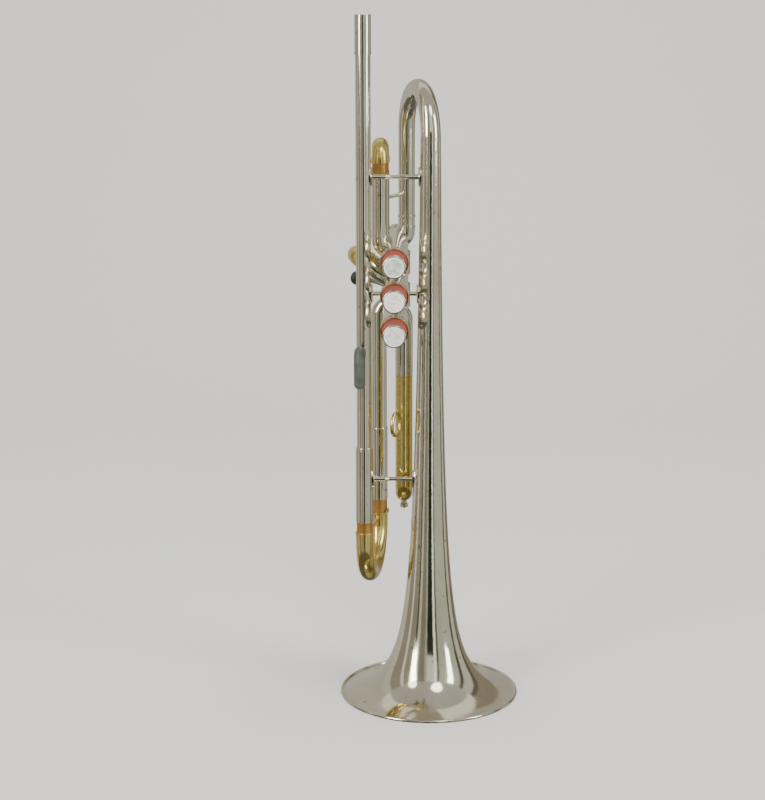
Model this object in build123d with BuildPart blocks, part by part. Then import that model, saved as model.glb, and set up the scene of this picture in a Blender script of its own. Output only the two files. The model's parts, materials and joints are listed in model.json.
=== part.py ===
from build123d import *
import math
import os

# A B-flat trumpet in millimetres. The bell's axis is +Z, with its rim on Z = 0, so the
# instrument stands on its bell. The valves lie along Y and their buttons face -Y.

# Bell
RIM_BEAD_R = 1.05
RIM_BEAD_CENTRE_R = 61.95
RIM_FLAT_DEPTH = 0.15
BEAD_TRIM = 2.0
BELL_EDGE_R = 60.9
BELL_EDGE_Z = 1.0
FLARE_LENGTH = 7.8
FLARE_POWER = 0.552
BELL_WALL = 0.7
BELL_TOP_Z = 396.0
BELL_JOINT_Z = 95.0
BELL_STATIONS = (1.0, 2.5, 5.0, 9.0, 15.0, 24.0, 38.0, 60.0, 95.0, 145.0, 210.0, 290.0, 396.0)

# Bell bow and tail
TAIL_X = -16.5
TAIL_Y = 58.0
TAIL_R = 5.8
TUBE_WALL = 0.5
BOW_SECTIONS = 12
TAIL_END_Z = 334.5
TAIL_ELBOW_R = 6.5

# Leadpipe line
LEAD_X = -45.6
LEAD_R = 5.2
RECEIVER_TOP_Z = 476.8
RECEIVER_R = 5.6
RECEIVER_MOUTH_R = 4.9
RECEIVER_THROAT_R = 4.3
RECEIVER_LENGTH = 25.0
LEAD_END_Z = 178.5

# Slide tubing: outer sleeves, inner tubes that run in them, and the ferrules
SLEEVE_R = 6.1
INNER_R = 5.66
RUN_CLEARANCE = 0.05
SLEEVE_BORE_R = INNER_R + RUN_CLEARANCE
INNER_BORE_R = 5.2
FERRULE_R = 6.5
FERRULE_LENGTH = 2.4

# Main tuning slide
SLEEVE_END_Z = 126.0
TUNING_REST_GAP = 8.0
FEED_X = -36.3
FEED_Y = 60.0
FEED_R = 5.6
FEED_SLEEVE_TOP_Z = 178.5
TUNING_TUBE_TOP_Z = 170.4
FEED_ELBOW_R = 8.0
CROOK_R = 6.1
TUNING_LEG = 5.0
TUNING_BRACE_Z = 113.2
TUBE_RING_STEP = 0.7
TUBE_RING_LENGTH = 1.2
ELBOW_RING_Z = 326.3
SEAT = 1.0

# Valve block
VALVE_X = -24.0
VALVE_Z = (316.8, 293.8, 270.8)
CASING_R = 8.9
CASING_BORE_R = 7.8
PISTON_R = 7.74
CASING_TOP_Y = -38.0
CASING_END_Y = 72.0
STROKE = 15.0

# Top caps and buttons
CAP_R = 9.65
CAP_TOP_Y = -44.0
CAP_SKIRT_Y = -34.0
CAP_RECESS_R = 8.75
CAP_RECESS_DEPTH = 2.6
CAP_WEB = 1.8
CAP_FELT_DEPTH = 2.0
FELT_GAP = 0.2
CAP_CHAMFER = 0.35
CAP_GRIPS = 36
CAP_GRIP_R = 0.45
CAP_GRIP_MARGIN = 1.6
STEM_R = 2.2
STEM_CLEARANCE = 0.3
STEM_SOCKET = 1.5
BUTTON_R = 7.7
BUTTON_DEPTH = 4.6
BUTTON_GAP = 0.4
PEARL_R = 6.9
PEARL_DEPTH = 1.8
PEARL_PROUD = 0.25
PEARL_FILLET = 0.4
BUTTON_FILLET = 0.6

# Pistons and springs
PISTON_TOP_Y = -3.0
PISTON_END_Y = 50.0
PISTON_WALL = 1.0
BARREL_TOP_Y = -39.3
BARREL_ROOF = 1.4
GUIDE_Y = -8.0
GUIDE_THICK = 1.4
GUIDE_TAB_WIDTH = 4.0
GUIDE_SLOT_GAP = 0.3
PORT_R = 4.6
PORT_Y = (13.0, 27.0, 41.0)
PORT_WAYS = ((1, 0, 0), (0, 0, 1), (1, 0, 0))
SPRING_R = 5.4
SPRING_WIRE_R = 0.4
SPRING_TURNS = 8

# Bottom caps
BOTTOM_CAP_END_Y = 75.5
BOTTOM_CAP_SKIRT_Y = 67.0
BOTTOM_CAP_R = 9.6
BOTTOM_CAP_HOLE_R = 1.5
BOTTOM_NUB_R = 4.0
BOTTOM_NUB_DEPTH = 1.6

# Valve slides
SLIDE_NEAR_Y = 13.0
SLIDE_1_X = -34.3
SLIDE_1_LEG_GAP = 16.0
SLIDE_1_SLEEVE_Z = 370.0
SLIDE_1_REST_GAP = 7.0
SLIDE_1_TUBE_END_Z = 334.0
SLIDE_1_ELBOW_R = 8.0
SLIDE_2_LEG_GAP = 18.5
SLIDE_2_TILT = 34.0
SLIDE_2_SLEEVE_REACH = 21.0
SLIDE_2_TUBE_START = 11.0
SLIDE_3_X = -18.0
SLIDE_3_LEG_GAP = 22.0
SLIDE_3_SLEEVE_Z = 229.0
SLIDE_3_TUBE_TOP_Z = 258.0
SLIDE_3_LEG_END_Z = 152.0
SLIDE_3_ELBOW_R = 7.0
SLIDE_3_ENTRY = 2.0
SLIDE_3_LEG_R = 6.0
SLIDE_3_SEAT = 12.0
SLIDE_GAP = 0.4
SLIDE_CROOK_R = 5.9

# Third slide finger ring
RING_Z = 197.0
RING_R = 8.0
RING_WIRE_R = 1.4
RING_STEM_R = 1.2
RING_STEM_LENGTH = 2.0
RING_TURN = 20.0

# Knuckles between the valve casings
KNUCKLE_X = -19.0
KNUCKLE_R = 5.2
KNUCKLE_Y = (22.0, 44.0)
KNUCKLE_INSET = 5.0

# Water keys
KEY_ARM_R = 1.2
KEY_CUP_R = 2.9
KEY_CUP_BACK = 1.2
KEY_CUP_LIP = 0.9
KEY_CORK_R = 2.3
KEY_CORK_DEPTH = 2.0
NIPPLE_R = 2.0
NIPPLE_BORE_R = 1.0
NIPPLE_LENGTH = 1.8
KEY_PIN_R = 0.8
KEY_BARREL_R = 1.8
KEY_BARREL_HALF = 2.4
KEY_CLEARANCE = 0.06
KEY_POST_R = 1.0
KEY_HEAD_HALF = 1.2
KEY_POST_GAP = 0.3
KEY_PIN_PROUD = 0.3
KEY_POST_REACH = KEY_BARREL_HALF + KEY_POST_GAP + 2 * KEY_HEAD_HALF + KEY_PIN_PROUD
KEY_STANDOFF = 3.4
TUNING_KEY_CUP_Z = 104.0
TUNING_KEY_PIVOT_Z = 114.0
TUNING_KEY_TIP_Z = 138.0
SLIDE_3_KEY_PIVOT_Z = 154.0
SLIDE_3_KEY_TIP_Z = 176.0
KEY_BEND_R = 8.0

# Braces
BRACE_REAR_Z = 368.7
BRACE_FRONT_Z = 157.0
BRACE_END_R = 1.75
BRACE_MID_R = 1.3
BRACE_THICK_SHARE = (0.3, 0.7)
BRACE_THIN_SHARE = (0.4, 0.6)
FLANGE_LENGTH = 13.0
FLANGE_WIDTH = 5.0
FLANGE_THICK = 1.1
VALVE_BRACE_Z = 288.6
VALVE_BRACE_R = 1.5
TAIL_BRACE_Z = 350.4
TAIL_BRACE_R = 1.3

# Pinky hook on the leadpipe and thumb rest beside valve 2
HOOK_R = 1.9
HOOK_FOOT_Z = 250.0
HOOK_OUT_Y = -23.0
HOOK_TIP_Z = 226.5
HOOK_X = -48.0
HOOK_BEND_R = 6.0
HOOK_SLEEVE_Y = -11.0
SLEEVE_RUBBER_R = 4.0
REST_R = 1.5
REST_X = -50.5
REST_Z = 297.0
REST_Y = 22.25
REST_TIP_Y = 11.0
REST_RUBBER_R = 4.5
REST_RUBBER_LENGTH = 7.5
REST_BEND_R = 3.0
RUBBER_CAP = 1.2

VALVE_AXIS = (0, 1, 0)


def save(piece, name):
    """Label a finished piece and write it as its own STEP file."""
    piece.label = name
    export_step(piece, f"parts/{name}.step")


def across(plane, outer, inner=0.0):
    """A disc, or a ring when it has a bore, on a plane."""
    with BuildSketch(plane) as section:
        Circle(outer)
        if inner:
            Circle(inner, mode=Mode.SUBTRACT)
    return section.sketch


def rod(start, end, outer, inner=0.0, mode=Mode.ADD):
    """A straight rod or tube between two points, added to the open part."""
    reach = Vector(end) - Vector(start)
    plane = Plane(origin=start, z_dir=reach.normalized())
    extrude(across(plane, outer, inner), amount=reach.length, mode=mode)


def bent_rod(path, outer, inner=0.0, mode=Mode.ADD):
    """A rod or tube swept along a path, added to the open part."""
    start = Plane(origin=path @ 0, z_dir=path % 0)
    sweep(sections=across(start, outer, inner), path=path, mode=mode)


def valve_cut(index, radius=CASING_R):
    """Clear the space of one valve casing out of the open part."""
    low = (VALVE_X, CASING_TOP_Y, VALVE_Z[index])
    high = (VALVE_X, CASING_END_Y, VALVE_Z[index])
    rod(low, high, radius, mode=Mode.SUBTRACT)


def bell_radius(z):
    """Outside radius of the bell: a horn that opens as a power of the distance."""
    return BELL_EDGE_R * (FLARE_LENGTH / (z - BELL_EDGE_Z + FLARE_LENGTH)) ** FLARE_POWER


def bell_points(depth):
    """Points of the bell's profile, moved inward by a depth along its normal."""
    points = []
    for z in BELL_STATIONS:
        slope = FLARE_POWER * bell_radius(z) / (z - BELL_EDGE_Z + FLARE_LENGTH)
        scale = depth / math.hypot(1.0, slope)
        points.append((bell_radius(z) - scale, z - scale * slope))
    return points


def make_bell():
    """The bell, spun flare below and drawn stem above, up to where the bow begins."""
    outside = bell_points(0.0)
    inside = bell_points(BELL_WALL)
    inside[-1] = (inside[-1][0], BELL_TOP_Z)
    with BuildPart() as bell:
        with BuildSketch(Plane.XZ) as profile:
            with BuildLine():
                Spline(*outside)
                Line(outside[-1], inside[-1])
                Spline(*inside)
                Line(inside[0], outside[0])
            make_face()
        revolve(profile.sketch, axis=Axis.Z)
    joint = (0, 0, BELL_JOINT_Z)
    with BuildPart() as bell_flare:
        add(bell.part)
        rod((0, 0, 0), joint, RIM_BEAD_CENTRE_R, mode=Mode.INTERSECT)
    save(bell_flare.part, "bell_flare")

    with BuildPart() as bell_stem:
        add(bell.part)
        rod(joint, (0, 0, BELL_TOP_Z), RIM_BEAD_CENTRE_R, mode=Mode.INTERSECT)
    save(bell_stem.part, "bell_stem")

    with BuildPart() as bell_rim_wire:
        with BuildSketch(Plane.XZ) as bead:
            with Locations((RIM_BEAD_CENTRE_R, RIM_BEAD_R - RIM_FLAT_DEPTH)):
                Circle(RIM_BEAD_R)
            with Locations((RIM_BEAD_CENTRE_R, -RIM_BEAD_R)):
                Rectangle(2 * BEAD_TRIM, 2 * RIM_BEAD_R, mode=Mode.SUBTRACT)
        revolve(bead.sketch, axis=Axis.Z)
        add(bell.part, mode=Mode.SUBTRACT)
    save(bell_rim_wire.part, "bell_rim_wire")


def bell_core():
    """The solid inside the bell's outer skin, for trimming what is soldered on to it."""
    outside = bell_points(0.0)
    with BuildSketch(Plane.XZ, mode=Mode.PRIVATE) as profile:
        with BuildLine():
            Spline(*outside)
            Polyline(outside[-1], (0, BELL_TOP_Z), (0, BELL_EDGE_Z), outside[0])
        make_face()
    return revolve(profile.sketch, axis=Axis.Z, mode=Mode.PRIVATE)


def bow_section(step, depth):
    """One circle of the bow, which narrows from the bell's stem to the tail."""
    share = step / BOW_SECTIONS
    half = math.hypot(TAIL_X, TAIL_Y) / 2
    angle = math.pi * share
    along = half * (1 - math.cos(angle))
    unit_x = TAIL_X / (2 * half)
    unit_y = TAIL_Y / (2 * half)
    origin = (along * unit_x, along * unit_y, BELL_TOP_Z + half * math.sin(angle))
    direction = (math.sin(angle) * unit_x, math.sin(angle) * unit_y, math.cos(angle))
    side = (-unit_y, unit_x, 0)
    radius = bell_radius(BELL_TOP_Z) + (TAIL_R - bell_radius(BELL_TOP_Z)) * share
    return across(Plane(origin=origin, x_dir=side, z_dir=direction), radius - depth)


def elbow_route(x, y, top_z, valve, radius):
    """The path of a tube that comes down beside the valves and turns into one of them."""
    with BuildLine() as route:
        FilletPolyline((x, y, top_z), (x, y, VALVE_Z[valve]), (VALVE_X, y, VALVE_Z[valve]), radius=radius)
    return route.line


def make_bow():
    """The bow over the top, with the tail that comes down beside valve 1, and its elbow."""
    tail_top = (TAIL_X, TAIL_Y, BELL_TOP_Z)
    tail_end = (TAIL_X, TAIL_Y, TAIL_END_Z)
    with BuildPart() as bell_bow:
        loft([bow_section(step, 0.0) for step in range(BOW_SECTIONS + 1)])
        loft([bow_section(step, TUBE_WALL) for step in range(BOW_SECTIONS + 1)], mode=Mode.SUBTRACT)
        rod(tail_top, tail_end, TAIL_R, TAIL_R - TUBE_WALL)
    save(bell_bow.part, "bell_bow")

    route = elbow_route(TAIL_X, TAIL_Y, TAIL_END_Z, 0, TAIL_ELBOW_R)
    with BuildPart() as tail_elbow:
        bent_rod(route, TAIL_R, TAIL_R - TUBE_WALL)
        valve_cut(0)
    save(tail_elbow.part, "tail_elbow")


def make_leadpipe():
    """The mouthpiece receiver, the leadpipe and the fixed tubes of the main tuning slide."""
    top = (LEAD_X, 0, RECEIVER_TOP_Z)
    receiver_end = (LEAD_X, 0, RECEIVER_TOP_Z - RECEIVER_LENGTH)
    throat = Plane(origin=receiver_end)
    mouth = Plane(origin=top)
    with BuildPart() as receiver:
        rod(receiver_end, top, RECEIVER_R)
        loft([across(throat, RECEIVER_THROAT_R), across(mouth, RECEIVER_MOUTH_R)], mode=Mode.SUBTRACT)
        fillet(receiver.edges().filter_by(GeomType.CIRCLE).group_by(Axis.Z)[-1], radius=TUBE_WALL / 2)
    save(receiver.part, "receiver")

    with BuildPart() as leadpipe:
        rod(receiver_end, (LEAD_X, 0, LEAD_END_Z), LEAD_R, LEAD_R - TUBE_WALL)
    save(leadpipe.part, "leadpipe")

    with BuildPart() as tuning_outer_upper:
        rod((LEAD_X, 0, LEAD_END_Z), (LEAD_X, 0, SLEEVE_END_Z), SLEEVE_R, SLEEVE_BORE_R)
    save(tuning_outer_upper.part, "tuning_outer_upper")

    with BuildPart() as tuning_outer_lower:
        rod((FEED_X, FEED_Y, FEED_SLEEVE_TOP_Z), (FEED_X, FEED_Y, SLEEVE_END_Z), SLEEVE_R, SLEEVE_BORE_R)
    save(tuning_outer_lower.part, "tuning_outer_lower")

    route = elbow_route(FEED_X, FEED_Y, FEED_SLEEVE_TOP_Z, 2, FEED_ELBOW_R)
    with BuildPart() as feed_tube:
        bent_rod(route, FEED_R, FEED_R - TUBE_WALL)
        valve_cut(2)
    save(feed_tube.part, "feed_tube")


def make_tube_rings():
    """The thin rings soldered round the tubes where two of them meet."""
    receiver_end_z = RECEIVER_TOP_Z - RECEIVER_LENGTH
    rings = (
        (LEAD_X, 0, receiver_end_z - TUBE_RING_LENGTH, LEAD_R),
        (LEAD_X, 0, LEAD_END_Z, LEAD_R),
        (FEED_X, FEED_Y, FEED_SLEEVE_TOP_Z, FEED_R),
        (TAIL_X, TAIL_Y, TAIL_END_Z - TUBE_RING_LENGTH / 2, TAIL_R),
        (SLIDE_1_X, SLIDE_NEAR_Y, ELBOW_RING_Z, SLEEVE_R),
        (SLIDE_1_X, SLIDE_NEAR_Y + SLIDE_1_LEG_GAP, ELBOW_RING_Z, SLEEVE_R),
        (TAIL_X, TAIL_Y, ELBOW_RING_Z, TAIL_R),
    )
    with BuildPart() as tube_rings:
        for x, y, low_z, radius in rings:
            rod((x, y, low_z), (x, y, low_z + TUBE_RING_LENGTH), radius + TUBE_RING_STEP, radius)
    save(tube_rings.part, "tube_rings")


def key_pin(pivot, axis, radius, half, mode=Mode.ADD):
    """A pin or barrel centred on a water key's pivot."""
    rod(pivot - axis * half, pivot + axis * half, radius, mode=mode)


def make_key(name, cork_name, route, tip, direction, pivot, axis):
    """A water key's lever with its cup and barrel, and the cork as its own piece."""
    cork_back = tip + direction * KEY_CORK_DEPTH
    with BuildPart() as lever:
        bent_rod(route, KEY_ARM_R)
        rod(tip + direction * KEY_CUP_LIP, cork_back + direction * KEY_CUP_BACK, KEY_CUP_R)
        key_pin(pivot, axis, KEY_BARREL_R, KEY_BARREL_HALF)
        key_pin(pivot, axis, KEY_PIN_R + KEY_CLEARANCE, KEY_BARREL_HALF, mode=Mode.SUBTRACT)
        rod(tip, cork_back, KEY_CORK_R, mode=Mode.SUBTRACT)
    save(lever.part, name)
    with BuildPart() as cork:
        rod(tip, cork_back, KEY_CORK_R)
    save(cork.part, cork_name)


def key_seat(tip, direction, pivot, axis, leg):
    """The nipple and the two hinge posts of a water key, added to the open part."""
    rod(tip - direction * (NIPPLE_LENGTH + TUBE_WALL), tip, NIPPLE_R, NIPPLE_BORE_R)
    reach = KEY_BARREL_HALF + KEY_POST_GAP + KEY_HEAD_HALF
    for side in (-1, 1):
        offset = axis * (side * reach)
        rod(Vector(leg) + offset, pivot + offset, KEY_POST_R)
        rod(pivot + offset - axis * KEY_HEAD_HALF, pivot + offset + axis * KEY_HEAD_HALF, KEY_BARREL_R)


def u_crook(near, far, bend_z, leg_z, outward):
    """The path of a crook: up one leg, round a half circle and back down the other."""
    half = math.hypot(far[0] - near[0], far[1] - near[1]) / 2
    middle = ((near[0] + far[0]) / 2, (near[1] + far[1]) / 2, bend_z + outward * half)
    with BuildLine() as route:
        Line((*near, leg_z), (*near, bend_z))
        ThreePointArc((*near, bend_z), middle, (*far, bend_z))
        Line((*far, bend_z), (*far, leg_z))
    return route.line


def bend_solid(centre, axis, bend_r, radius):
    """A full ring of a crook's bend, for trimming what is soldered on to it."""
    plane = Plane(origin=centre, z_dir=axis)
    return Torus(bend_r, radius, mode=Mode.PRIVATE).locate(plane.location)


def make_tuning_slide():
    """The main tuning slide: crook, inner tubes, ferrules, brace and water key."""
    near = (LEAD_X, 0)
    far = (FEED_X, FEED_Y)
    half = math.hypot(far[0] - near[0], far[1] - near[1]) / 2
    ferrule_top = SLEEVE_END_Z - TUNING_REST_GAP
    ferrule_low = ferrule_top - FERRULE_LENGTH
    bend_z = ferrule_low - TUNING_LEG
    with BuildPart() as tuning_crook:
        bent_rod(u_crook(near, far, bend_z, ferrule_low, -1), CROOK_R, CROOK_R - TUBE_WALL)
    save(tuning_crook.part, "tuning_crook")

    with BuildPart() as tuning_inner_tubes:
        for x, y in (near, far):
            rod((x, y, ferrule_low), (x, y, TUNING_TUBE_TOP_Z), INNER_R, INNER_BORE_R)
    save(tuning_inner_tubes.part, "tuning_inner_tubes")

    unit = Vector((far[0] - near[0]) / (2 * half), (far[1] - near[1]) / (2 * half), 0)
    axis = Vector(-unit.Y, unit.X, 0)
    middle = Vector((near[0] + far[0]) / 2, (near[1] + far[1]) / 2, 0)
    drop = bend_z - TUNING_KEY_CUP_Z
    surface = math.sqrt((half + CROOK_R) ** 2 - drop ** 2)
    tip = middle + unit * (surface + NIPPLE_LENGTH) + Vector(0, 0, TUNING_KEY_CUP_Z)
    arm = middle + unit * (surface + NIPPLE_LENGTH + KEY_CORK_DEPTH + KEY_ARM_R)
    pivot = arm + Vector(0, 0, TUNING_KEY_PIVOT_Z)
    leg = (FEED_X, FEED_Y, TUNING_KEY_PIVOT_Z)
    with BuildPart() as tuning_fittings:
        for x, y in (near, far):
            rod((x, y, ferrule_low), (x, y, ferrule_top), FERRULE_R, INNER_R)
        key_seat(tip, unit, pivot, axis, leg)
        add(bend_solid(middle + Vector(0, 0, bend_z), axis, half, CROOK_R), mode=Mode.SUBTRACT)
        rod((*near, TUNING_BRACE_Z), (*far, TUNING_BRACE_Z), TAIL_BRACE_R)
        for x, y in (near, far):
            rod((x, y, bend_z), (x, y, ferrule_low), CROOK_R, mode=Mode.SUBTRACT)
        key_pin(pivot, axis, KEY_PIN_R, KEY_POST_REACH)
    save(tuning_fittings.part, "tuning_fittings")

    with BuildLine() as route:
        Line(arm + Vector(0, 0, TUNING_KEY_CUP_Z), arm + Vector(0, 0, TUNING_KEY_TIP_Z))
    make_key("tuning_water_key", "tuning_key_cork", route.line, tip, unit, pivot, axis)


def make_slide_1():
    """Slide 1: two bent outer sleeves on valve 1, with the inner tubes and crook."""
    legs = (SLIDE_NEAR_Y, SLIDE_NEAR_Y + SLIDE_1_LEG_GAP)
    with BuildPart() as slide_1_outer:
        for y in legs:
            route = elbow_route(SLIDE_1_X, y, SLIDE_1_SLEEVE_Z, 0, SLIDE_1_ELBOW_R)
            bent_rod(route, SLEEVE_R, SLEEVE_BORE_R)
        valve_cut(0)
    save(slide_1_outer.part, "slide_1_outer")

    ferrule_low = SLIDE_1_SLEEVE_Z + SLIDE_1_REST_GAP
    ferrule_top = ferrule_low + FERRULE_LENGTH
    near = (SLIDE_1_X, legs[0])
    far = (SLIDE_1_X, legs[1])
    with BuildPart() as slide_1_crook:
        bent_rod(u_crook(near, far, ferrule_top, ferrule_top - SEAT, 1), SLIDE_CROOK_R, INNER_BORE_R)
        for x, y in (near, far):
            rod((x, y, ferrule_low), (x, y, ferrule_top), FERRULE_R, INNER_R)
    save(slide_1_crook.part, "slide_1_crook")

    with BuildPart() as slide_1_tubes:
        for x, y in (near, far):
            rod((x, y, SLIDE_1_TUBE_END_Z), (x, y, ferrule_top - SEAT), INNER_R, INNER_BORE_R)
    save(slide_1_tubes.part, "slide_1_tubes")


def slide_2_point(reach, y):
    """A point along slide 2, which leaves valve 2 at an angle above -X."""
    tilt = math.radians(SLIDE_2_TILT)
    return (VALVE_X - reach * math.cos(tilt), y, VALVE_Z[1] + reach * math.sin(tilt))


def make_slide_2():
    """Slide 2: short, straight out of valve 2 and tilted up past the leadpipe."""
    legs = (SLIDE_NEAR_Y, SLIDE_NEAR_Y + SLIDE_2_LEG_GAP)
    with BuildPart() as slide_2_outer:
        for y in legs:
            rod(slide_2_point(0, y), slide_2_point(SLIDE_2_SLEEVE_REACH, y), SLEEVE_R, SLEEVE_BORE_R)
        valve_cut(1)
    save(slide_2_outer.part, "slide_2_outer")

    ferrule_low = SLIDE_2_SLEEVE_REACH + SLIDE_GAP
    ferrule_top = ferrule_low + FERRULE_LENGTH
    middle_y = (legs[0] + legs[1]) / 2
    half = SLIDE_2_LEG_GAP / 2
    with BuildLine() as route:
        Line(slide_2_point(ferrule_top - SEAT, legs[0]), slide_2_point(ferrule_top, legs[0]))
        ThreePointArc(
            slide_2_point(ferrule_top, legs[0]),
            slide_2_point(ferrule_top + half, middle_y),
            slide_2_point(ferrule_top, legs[1]),
        )
        Line(slide_2_point(ferrule_top, legs[1]), slide_2_point(ferrule_top - SEAT, legs[1]))
    with BuildPart() as slide_2_crook:
        bent_rod(route.line, SLIDE_CROOK_R, INNER_BORE_R)
        for y in legs:
            rod(slide_2_point(ferrule_low, y), slide_2_point(ferrule_top, y), FERRULE_R, INNER_R)
    save(slide_2_crook.part, "slide_2_crook")

    with BuildPart() as slide_2_tubes:
        for y in legs:
            low = slide_2_point(SLIDE_2_TUBE_START, y)
            rod(low, slide_2_point(ferrule_top - SEAT, y), INNER_R, INNER_BORE_R)
    save(slide_2_tubes.part, "slide_2_tubes")


def make_slide_3():
    """Slide 3: bent sleeves on valve 3, the long moving legs with crook, ring and key."""
    legs = (SLIDE_NEAR_Y, SLIDE_NEAR_Y + SLIDE_3_LEG_GAP)
    with BuildPart() as slide_3_outer:
        for y in legs:
            start = (SLIDE_3_X, y, SLIDE_3_SLEEVE_Z)
            corner = (SLIDE_3_X, y, VALVE_Z[2])
            with BuildLine() as route:
                end = (VALVE_X - SLIDE_3_ENTRY, y, VALVE_Z[2])
                FilletPolyline(start, corner, end, radius=SLIDE_3_ELBOW_R)
            bent_rod(route.line, SLEEVE_R, SLEEVE_BORE_R)
        valve_cut(2)
    save(slide_3_outer.part, "slide_3_outer")

    leg_top = SLIDE_3_SLEEVE_Z - SLIDE_GAP
    near = (SLIDE_3_X, legs[0])
    far = (SLIDE_3_X, legs[1])
    route = u_crook(near, far, SLIDE_3_LEG_END_Z, leg_top, -1)
    with BuildPart() as slide_3_crook:
        bent_rod(route, SLIDE_3_LEG_R, INNER_BORE_R)
        for x, y in (near, far):
            rod((x, y, leg_top - SLIDE_3_SEAT), (x, y, leg_top), INNER_R, mode=Mode.SUBTRACT)
    save(slide_3_crook.part, "slide_3_crook")

    with BuildPart() as slide_3_tubes:
        for x, y in (near, far):
            rod((x, y, leg_top - SLIDE_3_SEAT), (x, y, SLIDE_3_TUBE_TOP_Z), INNER_R, INNER_BORE_R)
    save(slide_3_tubes.part, "slide_3_tubes")

    turn = math.radians(RING_TURN)
    outward = Vector(-math.sin(turn), -math.cos(turn), 0)
    centre = Vector(*near, RING_Z) + outward * (SLIDE_3_LEG_R + RING_STEM_LENGTH + RING_R)
    side = outward.cross(Vector(0, 0, 1))
    ring_plane = Plane(origin=centre, x_dir=outward, z_dir=side)
    with BuildLine(ring_plane) as loop:
        CenterArc((0, 0), RING_R, 0, 360)
    with BuildPart() as slide_3_ring:
        bent_rod(loop.line, RING_WIRE_R)
        rod(Vector(*near, RING_Z), centre - outward * RING_R, RING_STEM_R)
        rod((*near, RING_Z - RING_R), (*near, RING_Z + RING_R), SLIDE_3_LEG_R, mode=Mode.SUBTRACT)
    save(slide_3_ring.part, "slide_3_ring")

    down = Vector(0, 0, -1)
    axis = Vector(1, 0, 0)
    middle_y = (legs[0] + legs[1]) / 2
    bottom_z = SLIDE_3_LEG_END_Z - SLIDE_3_LEG_GAP / 2 - SLIDE_3_LEG_R
    tip = Vector(SLIDE_3_X, middle_y, bottom_z - NIPPLE_LENGTH)
    back_z = tip.Z - KEY_CORK_DEPTH - KEY_ARM_R
    arm_y = legs[1] + SLIDE_3_LEG_R + KEY_STANDOFF
    pivot = Vector(SLIDE_3_X, arm_y, SLIDE_3_KEY_PIVOT_Z)
    with BuildPart() as slide_3_fittings:
        key_seat(tip, down, pivot, axis, (SLIDE_3_X, legs[1], SLIDE_3_KEY_PIVOT_Z))
        bend_centre = Vector(SLIDE_3_X, middle_y, SLIDE_3_LEG_END_Z)
        add(bend_solid(bend_centre, axis, SLIDE_3_LEG_GAP / 2, SLIDE_3_LEG_R), mode=Mode.SUBTRACT)
        rod((*far, SLIDE_3_LEG_END_Z), (*far, leg_top), SLIDE_3_LEG_R, mode=Mode.SUBTRACT)
        key_pin(pivot, axis, KEY_PIN_R, KEY_POST_REACH)
    save(slide_3_fittings.part, "slide_3_fittings")

    with BuildLine() as lever_route:
        FilletPolyline(
            (SLIDE_3_X, middle_y, back_z),
            (SLIDE_3_X, arm_y, back_z),
            (SLIDE_3_X, arm_y, SLIDE_3_KEY_TIP_Z),
            radius=KEY_BEND_R,
        )
    make_key("slide_3_water_key", "slide_3_key_cork", lever_route.line, tip, down, pivot, axis)


def valve_point(index, y):
    """A point on the axis of a valve."""
    return (VALVE_X, y, VALVE_Z[index])


def casing_ports(index):
    """The ports of one casing: where along Y, and which way the tube leaves."""
    tilt = math.radians(SLIDE_2_TILT)
    slide_2_way = Vector(-math.cos(tilt), 0, math.sin(tilt))
    left = Vector(-1, 0, 0)
    right = Vector(1, 0, 0)
    near = SLIDE_NEAR_Y
    own = (
        ((near, left), (near + SLIDE_1_LEG_GAP, left), (TAIL_Y, right)),
        ((near, slide_2_way), (near + SLIDE_2_LEG_GAP, slide_2_way)),
        ((near, right), (near + SLIDE_3_LEG_GAP, right), (FEED_Y, left)),
    )
    return own[index]


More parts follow.
